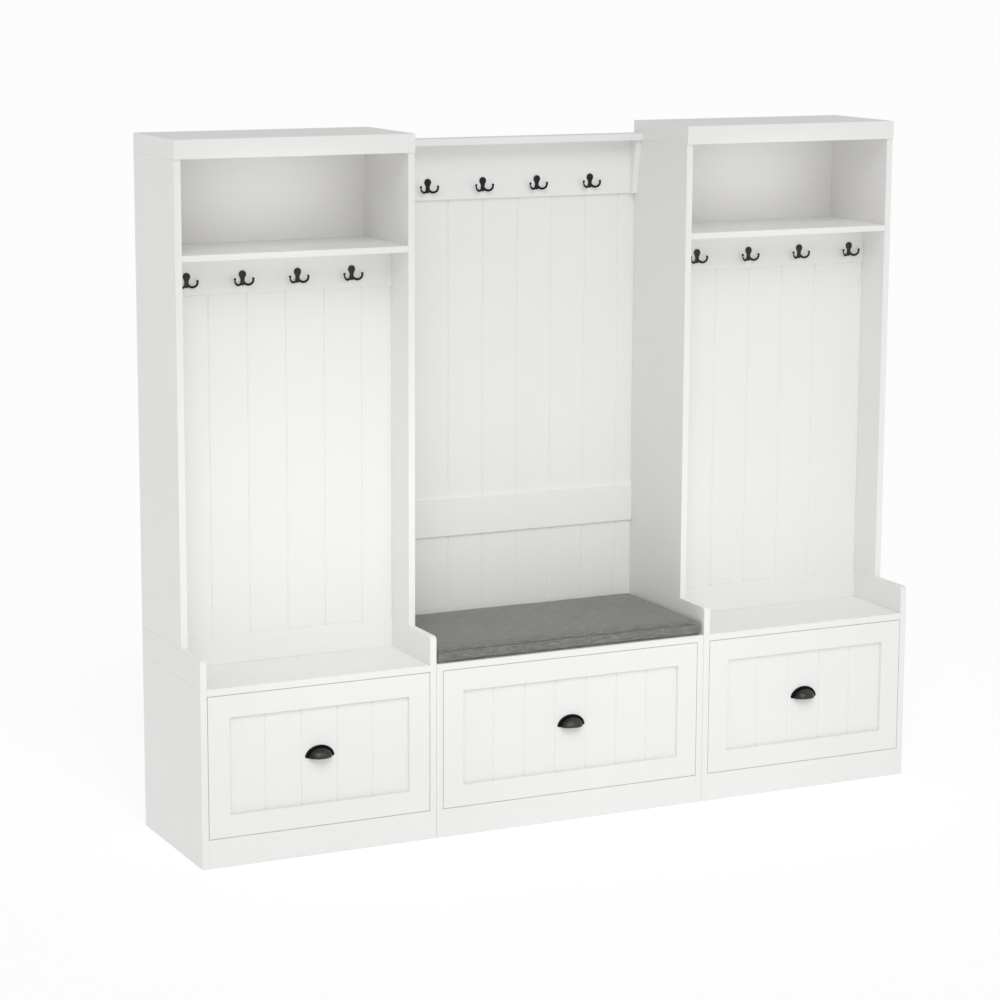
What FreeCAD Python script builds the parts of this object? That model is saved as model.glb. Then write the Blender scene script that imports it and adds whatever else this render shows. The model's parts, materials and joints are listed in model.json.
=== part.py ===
import FreeCAD, Part
import math
import os
import Sketcher

# Hall tree with hooks: two towers with a bench and hutch between them.
# X runs along the front from left to right, Y from front to back, Z up.
# The origin is on the floor, under the middle of the whole piece.

DIMENSIONS = {
    # overall
    "TowerWidth": 640, "BenchWidth": 784, "BaseDepth": 426, "UpperDepth": 294,
    "TotalHeight": 1800, "SeatHeight": 460, "ArmHeight": 74, "PlinthHeight": 75,
    # boards
    "SideThickness": 18, "ShelfThickness": 16, "BackThickness": 5, "EdgeEase": 0.8,
    "RearInset": 13, "BackRise": 20, "ArmRound": 12, "JointGap": 0.5,
    # tower top
    "CapHeight": 48, "CapProud": 4, "ShelfHeight": 1518,
    # panelled back of a tower
    "RailSetback": 104, "RailLip": 5, "RailThickness": 18, "RailLap": 12,
    "HookRailHeight": 95, "BeadThickness": 6, "GrooveWidth": 5, "GrooveDepth": 2.5,
    "TowerGroovePitch": 104, "TowerGrooveCount": 5,
    "LeftFirstGroove": 106, "RightFirstGroove": 35.5,
    # hutch of the bench
    "HutchRailThickness": 12, "HutchLip": 6, "HutchTop": 1767, "LedgeDepth": 54,
    "LedgeThickness": 18, "TopRailHeight": 145, "MidRailFoot": 700, "MidRailHeight": 101,
    "BenchGroovePitch": 102, "BenchFirstGroove": 23, "BenchGrooveCount": 8,
    "BracketThickness": 16, "BracketTopDepth": 32, "BracketFootDepth": 12,
    "BenchHookShift": 12,
    # drawers
    "DrawerGap": 1.3, "FrameWidth": 57, "FrameThickness": 18, "PanelRecess": 10,
    "FrameRebate": 8, "BoxHeight": 300, "BoxRise": 20, "BoxLength": 380, "BoxWall": 12,
    "BoxBottom": 6, "BoxBottomRise": 10, "TowerPlanks": 5, "BenchPlanks": 7,
    # telescopic slides
    "SlideSpace": 13, "SlideHeight": 45, "SlideCentre": 150, "SlideLength": 372,
    "SlideStart": 22, "SlideSteel": 1.5, "ChannelStep": 3.5, "OuterReach": 9,
    "CarrierReach": 8, "RunnerReach": 6.5, "CarrierShort": 12, "RunnerShort": 4,
    # cup pull
    "PullHalfWidth": 40, "PullHeight": 31, "PullCupWidth": 33, "PullCupHeight": 25,
    "PullDepth": 27, "PullWall": 2, "PullFlange": 2, "PullBead": 3.5, "PullBeadWidth": 5,
    "PullFoot": 253,
    # double hook
    "HookHeadRadius": 9.6, "HookFootRadius": 6, "HookHeight": 38, "HookThickness": 4,
    "HookWaist": 5.2, "HookWaistHeight": 15, "HookShoulder": 35, "HookAnkle": 20,
    "ProngBend": 13, "ProngRadius": 2.4, "ProngReach": 14, "ProngRise": 15.5,
    "ProngRoot": 1.5, "ProngSplay": 24, "ProngStart": -150, "ProngSweep": 160,
    "TipRadius": 3.4, "HookFootHeight": 19, "HookPitch": 160, "LeftHookPitch": 148,
    "TowerHookInset": 48,
    # hook screws
    "ScrewRadius": 1.6, "ScrewHeadRadius": 3.2, "ScrewHeadDepth": 1.8, "ScrewLength": 12,
    "ScrewClearance": 0.1, "ScrewLower": 16,
    # cushion
    "CushionThickness": 35, "CushionSideGap": 3, "CushionFrontGap": 1.5, "CushionRearGap": 6,
}

doc = FreeCAD.newDocument("HallTree")
dims = doc.addObject("Spreadsheet::Sheet", "Dims")
for row, (alias, value) in enumerate(DIMENSIONS.items(), start=1):
    dims.set(f"A{row}", alias)
    dims.set(f"B{row}", str(value))
    dims.setAlias(f"B{row}", alias)
doc.recompute()

# Places and sizes that follow from the driving dimensions, as expressions.
LEFT = "(-Dims.BenchWidth / 2 - Dims.TowerWidth)"
BENCH = "(-Dims.BenchWidth / 2)"
RIGHT = "(Dims.BenchWidth / 2)"
BENCH_BASE = "(Dims.JointGap - Dims.BenchWidth / 2)"
BENCH_BASE_WIDTH = "(Dims.BenchWidth - 2 * Dims.JointGap)"
FRONT = "(-(Dims.BaseDepth - Dims.PullDepth + Dims.PanelRecess) / 2)"
SIDE = "Dims.SideThickness"
ARM_TOP = "(Dims.SeatHeight + Dims.ArmHeight)"
UPPER_FRONT = "(Dims.BaseDepth - Dims.UpperDepth)"
CAP_FOOT = "(Dims.TotalHeight - Dims.CapHeight)"
SHELF_FOOT = "(Dims.ShelfHeight - Dims.ShelfThickness)"
HOOK_RAIL_FOOT = f"({SHELF_FOOT} - Dims.HookRailHeight)"
REAR_PANEL = "(Dims.BaseDepth - Dims.RearInset - Dims.BackThickness)"
TOWER_RAIL = f"({UPPER_FRONT} + Dims.RailSetback)"
HUTCH_RAIL = "(Dims.BaseDepth - Dims.HutchRailThickness)"
LEDGE_FOOT = "(Dims.HutchTop - Dims.LedgeThickness)"
TOP_RAIL_FOOT = f"({LEDGE_FOOT} - Dims.TopRailHeight)"
MID_RAIL_TOP = "(Dims.MidRailFoot + Dims.MidRailHeight)"
BOX_FOOT = "(Dims.PlinthHeight + Dims.BoxRise)"
FRONT_HEIGHT = "(Dims.SeatHeight - Dims.SideThickness - Dims.PlinthHeight - 2 * Dims.DrawerGap)"
PANEL_THICKNESS = "(Dims.FrameThickness - Dims.PanelRecess)"

nodes = []


# ---------------------------------------------------------------- helpers

def keep(name, item):
    """Mark an object as a finished sub-part, written to a file of its own."""
    item.Label = name
    nodes.append(item)
    return item


def put(item, place):
    """Bind an object's position to expressions for X, Y and Z."""
    for axis, text in zip("xyz", place):
        item.setExpression(f".Placement.Base.{axis}", text)
    return item


def at(module, right, back, up):
    """A place in a module: rightwards from its left side, back from the front, up."""
    return (f"{module} + {right}", f"{FRONT} + {back}", f"{up}")


def group(name, items):
    """Several separate solids of one kind, kept as one sub-part."""
    cluster = doc.addObject("Part::Compound", name)
    cluster.Links = items
    return cluster


def mirrored(name, source, plane_x):
    """The mirror image of a piece across an upright plane at plane_x."""
    image = doc.addObject("Part::Mirroring", name)
    image.Source = source
    image.Normal = (1, 0, 0)
    image.setExpression(".Base.x", plane_x)
    return image


def copy_at(name, source, place):
    """A linked copy of a piece at another place."""
    link = doc.addObject("App::Link", name)
    link.LinkedObject = source
    for axis, text in zip("xyz", place):
        link.setExpression(f".LinkPlacement.Base.{axis}", text)
    return link


def new_body(name):
    return doc.addObject("PartDesign::Body", name)


def plane_of(body, role):
    """One of a body's own origin planes or axes, by its role."""
    return next(item for item in body.Origin.OriginFeatures if item.Role == role)


def sketch_on(body, role, outlines):
    """A sketch of closed straight-sided outlines, each corner bound to expressions."""
    sketch = body.newObject("Sketcher::SketchObject", f"{body.Name}_{role[:2]}")
    sketch.AttachmentSupport = (plane_of(body, role), [""])
    sketch.MapMode = "FlatFace"
    for outline in outlines:
        first = sketch.GeometryCount
        count = len(outline)
        for i in range(count):
            a = 2 * math.pi * i / count
            b = 2 * math.pi * (i + 1) / count
            start = FreeCAD.Vector(math.cos(a), math.sin(a), 0)
            end = FreeCAD.Vector(math.cos(b), math.sin(b), 0)
            sketch.addGeometry(Part.LineSegment(start, end), False)
        for i in range(count):
            after = first + (i + 1) % count
            sketch.addConstraint(Sketcher.Constraint("Coincident", first + i, 2, after, 1))
        for i, corner in enumerate(outline):
            for kind, text in zip(("DistanceX", "DistanceY"), corner):
                rule = Sketcher.Constraint(kind, -1, 1, first + i, 1, 1.0)
                sketch.setExpression(f"Constraints[{sketch.addConstraint(rule)}]", text)
    return sketch


def rectangle(low, high):
    """The four corners of an upright rectangle, from two opposite ones."""
    return [low, (high[0], low[1]), high, (low[0], high[1])]


def pad(body, sketch, length, reverse=False):
    solid = body.newObject("PartDesign::Pad", f"{sketch.Name}_pad")
    solid.Profile = sketch
    solid.setExpression("Length", length)
    solid.Reversed = reverse
    return solid


def ease_edges(body, feature):
    """Every edge of a board is eased, as sanding before paint leaves it."""
    ease = body.newObject("PartDesign::Chamfer", f"{body.Name}_ease")
    ease.Base = (feature, [""])
    ease.UseAllEdges = True
    ease.setExpression("Size", "Dims.EdgeEase")
    return ease


def board(name, place, size, eased=True):
    """A rectangular board, from its low corner and its size in X, Y and Z."""
    body = new_body(name)
    block = body.newObject("PartDesign::AdditiveBox", f"{name}_block")
    for prop, text in zip(("Length", "Width", "Height"), size):
        block.setExpression(prop, text)
    if eased:
        ease_edges(body, block)
    return put(body, place)


def profile_board(name, place, outline, length):
    """A board with a shaped cross-section in Y and Z, run along X."""
    body = new_body(name)
    sketch = sketch_on(body, "YZ_Plane", [outline])
    ease_edges(body, pad(body, sketch, length))
    return put(body, place)


def pair(name, one, centre_x):
    """A piece and its mirror image across a module's middle."""
    return keep(name, group(f"{name}_pair", [one, mirrored(f"{name}_twin", one, centre_x)]))


def grooved_panel(name, place, size, first, pitch, count):
    """A flat panel whose front has upright V grooves at an even pitch."""
    width, thickness, height = size
    body = new_body(name)
    face = sketch_on(body, "XZ_Plane", [rectangle(("0", "0"), (width, height))])
    ease_edges(body, pad(body, face, thickness, reverse=True))
    groove = [(f"{first} - Dims.GrooveWidth / 2", "0"),
              (f"{first} + Dims.GrooveWidth / 2", "0"),
              (f"{first}", "Dims.GrooveDepth")]
    cutter = sketch_on(body, "XY_Plane", [groove])
    cut = body.newObject("PartDesign::Pocket", f"{name}_groove")
    cut.Profile = cutter
    cut.Type = "ThroughAll"
    cut.Reversed = True
    row = body.newObject("PartDesign::LinearPattern", f"{name}_grooves")
    row.Originals = [cut]
    row.Direction = (cutter, ["H_Axis"])
    row.setExpression("Length", f"{pitch} * ({count} - 1)")
    row.setExpression("Occurrences", count)
    body.Tip = row
    return put(body, place)


def edge_near(shape, point):
    """The name of the edge whose middle is nearest a point."""
    def gap(edge):
        return edge.BoundBox.Center.distanceToPoint(point)
    number = min(range(len(shape.Edges)), key=lambda i: gap(shape.Edges[i]))
    return f"Edge{number + 1}"


# ---------------------------------------------------------------- base cabinets

def base_cabinet(prefix, module, width):
    """Two sides, a bottom, a plinth and a seat board, open at the front for a drawer."""
    inner = f"({width} - 2 * {SIDE})"
    middle = f"{module} + {width} / 2"
    side = board(f"{prefix}_base_side", at(module, "0", "0", "0"),
                 (SIDE, "Dims.BaseDepth", "Dims.SeatHeight"))
    pair(f"{prefix}_base_sides", side, middle)
    bottom_depth = f"{REAR_PANEL} - {SIDE}"
    keep(f"{prefix}_base_bottom", board(
        f"{prefix}_bottom", at(module, SIDE, SIDE, "Dims.PlinthHeight - Dims.ShelfThickness"),
        (inner, bottom_depth, "Dims.ShelfThickness")))
    keep(f"{prefix}_plinth", board(
        f"{prefix}_plinth_board", at(module, SIDE, "0", "0"), (inner, SIDE, "Dims.PlinthHeight")))
    keep(f"{prefix}_seat_board", board(
        f"{prefix}_seat", at(module, SIDE, "0", f"Dims.SeatHeight - {SIDE}"),
        (inner, "Dims.BaseDepth", SIDE)))
    return board(f"{prefix}_base_back", at(module, SIDE, REAR_PANEL, "Dims.BackRise"),
                 (inner, "Dims.BackThickness", f"Dims.SeatHeight - {SIDE} - Dims.BackRise"),
                 eased=False)


# ---------------------------------------------------------------- drawers

def drawer_front(prefix, module, width, planks):
    """A framed drawer front: four-sided frame with a planked panel set in from behind."""
    front_width = f"({width} - 2 * {SIDE} - 2 * Dims.DrawerGap)"
    corner = at(module, f"{SIDE} + Dims.DrawerGap", "0", "Dims.PlinthHeight + Dims.DrawerGap")
    outer = rectangle(("0", "0"), (front_width, FRONT_HEIGHT))

    def window(rim):
        return rectangle((rim, rim), (f"{front_width} - {rim}", f"{FRONT_HEIGHT} - {rim}"))

    body = new_body(f"{prefix}_front")
    lip = sketch_on(body, "XZ_Plane", [outer, window("Dims.FrameWidth")])
    pad(body, lip, "Dims.PanelRecess", reverse=True)
    seat = sketch_on(body, "XZ_Plane", [outer, window("(Dims.FrameWidth - Dims.FrameRebate)")])
    seat.setExpression(".AttachmentOffset.Base.z", "-Dims.PanelRecess")
    ease_edges(body, pad(body, seat, PANEL_THICKNESS, reverse=True))
    keep(f"{prefix}_drawer_frame", put(body, corner))

    lap = "(Dims.FrameWidth - Dims.FrameRebate)"
    panel_width = f"({front_width} - 2 * {lap})"
    plank = f"(({front_width} - 2 * Dims.FrameWidth) / {planks})"
    keep(f"{prefix}_drawer_panel", grooved_panel(
        f"{prefix}_panel",
        at(module, f"{SIDE} + Dims.DrawerGap + {lap}", "Dims.PanelRecess",
           f"Dims.PlinthHeight + Dims.DrawerGap + {lap}"),
        (panel_width, PANEL_THICKNESS, f"{FRONT_HEIGHT} - 2 * {lap}"),
        f"(Dims.FrameRebate + {plank})", plank, f"({planks} - 1)"))


def drawer_box(prefix, module, width):
    """The open box behind the front: two sides, front, back and bottom."""
    left = f"({SIDE} + Dims.SlideSpace)"
    outer = f"({width} - 2 * {left})"
    inner = f"({outer} - 2 * Dims.BoxWall)"
    front = "Dims.FrameThickness"
    middle = f"{module} + {width} / 2"
    side = board(f"{prefix}_box_side", at(module, left, front, BOX_FOOT),
                 ("Dims.BoxWall", "Dims.BoxLength", "Dims.BoxHeight"))
    across = f"({left} + Dims.BoxWall)"
    face = board(f"{prefix}_box_front", at(module, across, front, BOX_FOOT),
                 (inner, "Dims.BoxWall", "Dims.BoxHeight"))
    back = board(f"{prefix}_box_back",
                 at(module, across, f"{front} + Dims.BoxLength - Dims.BoxWall", BOX_FOOT),
                 (inner, "Dims.BoxWall", "Dims.BoxHeight"))
    floor = board(f"{prefix}_box_floor",
                  at(module, across, f"{front} + Dims.BoxWall", f"{BOX_FOOT} + Dims.BoxBottomRise"),
                  (inner, "Dims.BoxLength - 2 * Dims.BoxWall", "Dims.BoxBottom"), eased=False)
    twin = mirrored(f"{prefix}_box_side_twin", side, middle)
    keep(f"{prefix}_drawer_box", group(f"{prefix}_box", [side, twin, face, back, floor]))


def half_round_plate(name, half_width, height, thickness):
    """An upright elliptical plate standing forward from its flat back."""
    outline = doc.addObject("Part::Ellipse", f"{name}_outline")
    outline.setExpression("MajorRadius", half_width)
    outline.setExpression("MinorRadius", height)
    outline.Placement.Rotation = FreeCAD.Rotation(FreeCAD.Vector(1, 0, 0), 90)
    plate = doc.addObject("Part::Extrusion", name)
    plate.Base = outline
    plate.DirMode = "Custom"
    plate.Dir = (0, -1, 0)
    plate.setExpression("LengthFwd", thickness)
    plate.Solid = True
    return plate


def pull_egg(name, inset):
    """The egg that gives the cup its outside, or its hollow when it is inset by the wall."""
    egg = doc.addObject("Part::Ellipsoid", name)
    egg.setExpression("Radius1", f"Dims.PullCupHeight - {inset}")
    egg.setExpression("Radius2", f"Dims.PullCupWidth - {inset}")
    egg.setExpression("Radius3", f"Dims.PullDepth - {inset}")
    egg.Angle1 = -90
    return egg


def cup_pull():
    """A half-moon cup pull: a quarter-egg shell on a half-round flange with a raised bead."""
    cup = pull_egg("pull_cup", "0")
    hollow = pull_egg("pull_hollow", "Dims.PullWall")
    flange = half_round_plate("pull_flange", "Dims.PullHalfWidth", "Dims.PullHeight",
                              "Dims.PullFlange")
    bead = doc.addObject("Part::Cut", "pull_bead")
    bead.Base = half_round_plate("pull_bead_outer", "Dims.PullHalfWidth", "Dims.PullHeight",
                                 "Dims.PullBead")
    bead.Tool = half_round_plate("pull_bead_inner", "Dims.PullHalfWidth - Dims.PullBeadWidth",
                                 "Dims.PullHeight - Dims.PullBeadWidth", "Dims.PullBead")
    whole = doc.addObject("Part::MultiFuse", "pull_whole")
    whole.Shapes = [cup, flange, bead]
    shell = doc.addObject("Part::Cut", "pull_shell")
    shell.Base = whole
    shell.Tool = hollow
    quarter = doc.addObject("Part::Box", "pull_quarter")
    quarter.setExpression("Length", "2 * Dims.PullHalfWidth + 2")
    quarter.setExpression("Width", "Dims.PullDepth + 2")
    quarter.setExpression("Height", "Dims.PullHeight + 2")
    put(quarter, ("-Dims.PullHalfWidth - 1", "-Dims.PullDepth - 2", "0"))
    pull = doc.addObject("Part::Common", "cup_pull_model")
    pull.Base = shell
    pull.Tool = quarter
    return pull


def slide_channel(name, start, depth, half, length, opens_right):
    """A steel channel of a slide: an upright web with two flanges, run from front to back."""
    near = start if opens_right else f"({start} + {depth})"
    sign = "" if opens_right else "-"
    web = f"({near} + {sign}Dims.SlideSteel)"
    far = f"({near} + {sign}{depth})"
    inside = f"({half} - Dims.SlideSteel)"
    outline = [(near, f"-{half}"), (far, f"-{half}"), (far, f"-{inside}"), (web, f"-{inside}"),
               (web, inside), (far, inside), (far, half), (near, half)]
    body = new_body(name)
    pad(body, sketch_on(body, "XZ_Plane", [outline]), length, reverse=True)
    return body


def slides(prefix, module, width):
    """A pair of telescopic slides; returns the cabinet members, fixed to the sides."""
    place = at(module, SIDE, "Dims.SlideStart", f"{BOX_FOOT} + Dims.SlideCentre")
    middle = f"{module} + {width} / 2"
    half = "(Dims.SlideHeight / 2)"
    step = "Dims.ChannelStep"
    cabinet = slide_channel(f"{prefix}_slide_outer", "0", "Dims.OuterReach", half,
                            "Dims.SlideLength", True)
    carrier = slide_channel(f"{prefix}_slide_carrier", step, "Dims.CarrierReach",
                            f"({half} - {step})", "Dims.SlideLength - Dims.CarrierShort", True)
    runner = slide_channel(f"{prefix}_slide_runner", "(Dims.SlideSpace - Dims.RunnerReach)",
                           "Dims.RunnerReach", f"({half} - 2 * {step})",
                           "Dims.SlideLength - Dims.RunnerShort", False)
    for member in (cabinet, carrier, runner):
        put(member, place)
    pair(f"{prefix}_slide_middles", carrier, middle)
    pair(f"{prefix}_slide_runners", runner, middle)
    return [cabinet, mirrored(f"{prefix}_slide_outer_twin", cabinet, middle)]


def drawer(prefix, module, width, planks, pull):
    """A whole drawer with its pull and slides; returns the slides' cabinet members."""
    drawer_front(prefix, module, width, planks)
    drawer_box(prefix, module, width)
    place = at(module, f"{width} / 2", "Dims.PanelRecess", "Dims.PullFoot")
    keep(f"{prefix}_cup_pull", group(f"{prefix}_pull", [copy_at(f"{prefix}_pull_copy", pull, place)]))
    return slides(prefix, module, width)


# ---------------------------------------------------------------- coat hooks

def hook_plate():
    """The pear-shaped back plate: a round head and foot joined by hollow sides."""
    head = dims.HookHeadRadius
    foot = dims.HookFootRadius
    head_z = dims.HookHeight - head
    shoulder = math.radians(dims.HookShoulder)
    ankle = math.radians(dims.HookAnkle)

    def on_circle(radius, centre_z, angle):
        return FreeCAD.Vector(radius * math.cos(angle), 0, centre_z + radius * math.sin(angle))

    right_head = on_circle(head, head_z, -shoulder)
    left_head = on_circle(head, head_z, math.pi + shoulder)
    right_foot = on_circle(foot, foot, ankle)
    left_foot = on_circle(foot, foot, math.pi - ankle)
    right_waist = FreeCAD.Vector(dims.HookWaist, 0, dims.HookWaistHeight)
    left_waist = FreeCAD.Vector(-dims.HookWaist, 0, dims.HookWaistHeight)
    edges = [Part.Arc(right_head, on_circle(head, head_z, math.pi / 2), left_head).toShape(),
             Part.Arc(left_head, left_waist, left_foot).toShape(),
             Part.Arc(left_foot, on_circle(foot, foot, -math.pi / 2), right_foot).toShape(),
             Part.Arc(right_foot, right_waist, right_head).toShape()]
    plate = Part.Face(Part.Wire(edges)).extrude(FreeCAD.Vector(0, -dims.HookThickness, 0))
    front = [edge for edge in plate.Edges if edge.BoundBox.YMax < -dims.HookThickness / 2]
    item = doc.addObject("Part::Feature", "hook_plate")
    item.Shape = plate.makeFillet(dims.HookThickness / 3, front)
    return item


def ball(name, radius, place):
    item = doc.addObject("Part::Sphere", name)
    item.setExpression("Radius", radius)
    item.Placement.Base = place
    return item


def hook_prong():
    """One prong: a round bar bent in an arc, splayed outwards, with a ball at its end."""
    bar = doc.addObject("Part::Torus", "prong_bar")
    bar.setExpression("Radius1", "Dims.ProngBend")
    bar.setExpression("Radius2", "Dims.ProngRadius")
    bar.setExpression("Angle3", "Dims.ProngSweep")
    splay = FreeCAD.Rotation(FreeCAD.Vector(0, 0, 1), -dims.ProngSplay)
    upright = FreeCAD.Rotation(FreeCAD.Vector(1, 0, 0), 90)
    turn = FreeCAD.Rotation(FreeCAD.Vector(0, 0, 1), dims.ProngStart)
    centre = splay.multVec(FreeCAD.Vector(dims.ProngReach, 0, 0))
    centre = centre + FreeCAD.Vector(0, -dims.ProngRoot, dims.ProngRise)
    bar.Placement = FreeCAD.Placement(centre, splay * upright * turn)

    def along(degrees):
        """A point on the bar's centre line."""
        return bar.Placement.multVec(FreeCAD.Vector(
            dims.ProngBend * math.cos(math.radians(degrees)),
            dims.ProngBend * math.sin(math.radians(degrees)), 0))

    return [bar, ball("prong_root", "Dims.ProngRadius", along(0)),
            ball("prong_tip", "Dims.TipRadius", along(dims.ProngSweep))]


def screw(name, slack):
    """A countersunk screw pointing back from the plate's front, larger all round by slack."""
    head = doc.addObject("Part::Cone", f"{name}_head")
    head.setExpression("Radius1", f"Dims.ScrewHeadRadius + {slack}")
    head.setExpression("Radius2", f"Dims.ScrewRadius + {slack}")
    head.setExpression("Height", f"Dims.ScrewHeadDepth + {slack}")
    shank = doc.addObject("Part::Cylinder", f"{name}_shank")
    shank.setExpression("Radius", f"Dims.ScrewRadius + {slack}")
    shank.setExpression("Height", f"Dims.ScrewLength + {slack}")
    for item in (head, shank):
        item.Placement.Rotation = FreeCAD.Rotation(FreeCAD.Vector(1, 0, 0), -90)
        item.setExpression(".Placement.Base.y", "-Dims.HookThickness")
    whole = doc.addObject("Part::MultiFuse", name)
    whole.Shapes = [head, shank]
    return whole


def screw_heights():
    """The heights of a hook's two screws above its foot."""
    return ("Dims.HookHeight - Dims.HookHeadRadius", "Dims.ScrewLower")


def hook_model(hole):
    """A double hook: plate with two screw holes, and two mirrored prongs."""
    plate = hook_plate()
    prong = hook_prong()
    twins = [mirrored(f"{item.Name}_twin", item, "0") for item in prong]
    whole = doc.addObject("Part::MultiFuse", "hook_whole")
    whole.Shapes = [plate] + prong + twins
    bores = [copy_at(f"hook_bore_{i}", hole, ("0", "0", up)) for i, up in enumerate(screw_heights())]
    hook = doc.addObject("Part::Cut", "hook_model")
    hook.Base = whole
    hook.Tool = group("hook_bores", bores)
    return hook


def hook_row(prefix, module, first, pitch, face, foot, models):
    """Four hooks along a rail; returns the screws and the holes for them in the rail."""
    hook, screw_piece, hole = models
    hooks = []
    screws = []
    holes = []
    for i in range(4):
        right = f"{first} + {i} * {pitch}"
        hooks.append(copy_at(f"{prefix}_hook_{i}", hook, at(module, right, face, foot)))
        for level, up in enumerate(screw_heights()):
            place = at(module, right, face, f"{foot} + {up}")
            screws.append(copy_at(f"{prefix}_screw_{i}{level}", screw_piece, place))
            holes.append(copy_at(f"{prefix}_hole_{i}{level}", hole, place))
    keep(f"{prefix}_coat_hooks", group(f"{prefix}_hooks", hooks))
    return screws, holes


def bored(name, rail, holes):
    """A rail with the pilot holes for its hook screws."""
    cut = doc.addObject("Part::Cut", f"{name}_bored")
    cut.Base = rail
    cut.Tool = group(f"{name}_holes", holes)
    return keep(name, cut)


# ---------------------------------------------------------------- tower uppers

def arm_board(name, module):
    """An arm on edge along the side of the seat, its top front corner rounded."""
    body = new_body(name)
    block = body.newObject("PartDesign::AdditiveBox", f"{name}_block")
    for prop, text in zip(("Length", "Width", "Height"), (SIDE, "Dims.BaseDepth", "Dims.ArmHeight")):
        block.setExpression(prop, text)
    doc.recompute()
    corner = FreeCAD.Vector(dims.SideThickness / 2, 0, dims.ArmHeight)
    nose = body.newObject("PartDesign::Fillet", f"{name}_nose")
    nose.Base = (block, [edge_near(block.Shape, corner)])
    nose.setExpression("Radius", "Dims.ArmRound")
    ease_edges(body, nose)
    return put(body, at(module, "0", "0", "Dims.SeatHeight"))


def tower_carcass(prefix, module):
    """Arms, uprights, cap and shelf of a tower."""
    inner = f"(Dims.TowerWidth - 2 * {SIDE})"
    middle = f"{module} + Dims.TowerWidth / 2"
    pair(f"{prefix}_arms", arm_board(f"{prefix}_arm", module), middle)
    upright = board(f"{prefix}_upright", at(module, "0", UPPER_FRONT, ARM_TOP),
                    (SIDE, "Dims.UpperDepth", f"{CAP_FOOT} - {ARM_TOP}"))
    pair(f"{prefix}_uprights", upright, middle)
    cap_front = f"({UPPER_FRONT} - Dims.CapProud)"
    end = board(f"{prefix}_cap_end", at(module, "0", cap_front, CAP_FOOT),
                (SIDE, "Dims.UpperDepth + Dims.CapProud", "Dims.CapHeight"))
    face = board(f"{prefix}_cap_face", at(module, SIDE, cap_front, CAP_FOOT),
                 (inner, SIDE, "Dims.CapHeight"))
    keep(f"{prefix}_cap_frame", group(f"{prefix}_cap", [
        end, mirrored(f"{prefix}_cap_end_twin", end, middle), face]))
    keep(f"{prefix}_cap_board", board(
        f"{prefix}_cap_top",
        at(module, SIDE, f"{cap_front} + {SIDE}", "Dims.TotalHeight - Dims.ShelfThickness"),
        (inner, f"Dims.UpperDepth + Dims.CapProud - {SIDE}", "Dims.ShelfThickness")))
    keep(f"{prefix}_shelf", board(
        f"{prefix}_shelf_board", at(module, SIDE, UPPER_FRONT, SHELF_FOOT),
        (inner, f"{REAR_PANEL} - {UPPER_FRONT}", "Dims.ShelfThickness")))
    rear_height = "Dims.TotalHeight - Dims.ShelfThickness - Dims.SeatHeight"
    return board(f"{prefix}_rear", at(module, SIDE, REAR_PANEL, "Dims.SeatHeight"),
                 (inner, "Dims.BackThickness", rear_height), eased=False)


def tower_back(prefix, module, first_groove, first_hook, hook_pitch, models):
    """The panelled back below the shelf: two rebated rails, a beadboard and the hooks."""
    inner = f"(Dims.TowerWidth - 2 * {SIDE})"
    full = "Dims.RailThickness"
    lip = "Dims.RailLip"
    lap = "Dims.RailLap"
    arm = "Dims.ArmHeight"
    low_rail = [("0", "0"), (full, "0"), (full, f"{arm} - {lap}"), (lip, f"{arm} - {lap}"),
                (lip, arm), ("0", arm)]
    keep(f"{prefix}_bottom_rail", profile_board(
        f"{prefix}_low_rail", at(module, SIDE, TOWER_RAIL, "Dims.SeatHeight"), low_rail, inner))
    tall = "Dims.HookRailHeight"
    high_rail = [("0", "0"), (lip, "0"), (lip, lap), (full, lap), (full, tall), ("0", tall)]
    rail = profile_board(f"{prefix}_high_rail", at(module, SIDE, TOWER_RAIL, HOOK_RAIL_FOOT),
                         high_rail, inner)
    screws, holes = hook_row(prefix, module, first_hook, hook_pitch, TOWER_RAIL,
                             f"{HOOK_RAIL_FOOT} + Dims.HookFootHeight", models)
    bored(f"{prefix}_hook_rail", rail, holes)
    foot = f"({ARM_TOP} - {lap})"
    keep(f"{prefix}_beadboard", grooved_panel(
        f"{prefix}_bead", at(module, SIDE, f"{TOWER_RAIL} + {lip}", foot),
        (inner, "Dims.BeadThickness", f"({HOOK_RAIL_FOOT} + {lap} - {foot})"),
        first_groove, "Dims.TowerGroovePitch", "Dims.TowerGrooveCount"))
    return screws


# ---------------------------------------------------------------- bench upper

def bench_beadboards():
    """Two grooved panels, below and above the middle rail."""
    lap = "Dims.RailLap"
    panels = []
    for name, foot, top in (("bench_bead_low", "Dims.SeatHeight", f"Dims.MidRailFoot + {lap}"),
                            ("bench_bead_high", f"({MID_RAIL_TOP} - {lap})", f"{TOP_RAIL_FOOT} + {lap}")):
        panels.append(grooved_panel(
            name, at(BENCH, "0", f"{HUTCH_RAIL} + Dims.HutchLip", foot),
            ("Dims.BenchWidth", "Dims.HutchRailThickness - Dims.HutchLip", f"({top} - {foot})"),
            "Dims.BenchFirstGroove", "Dims.BenchGroovePitch", "Dims.BenchGrooveCount"))
    keep("bench_beadboards", group("bench_beads", panels))


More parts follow.
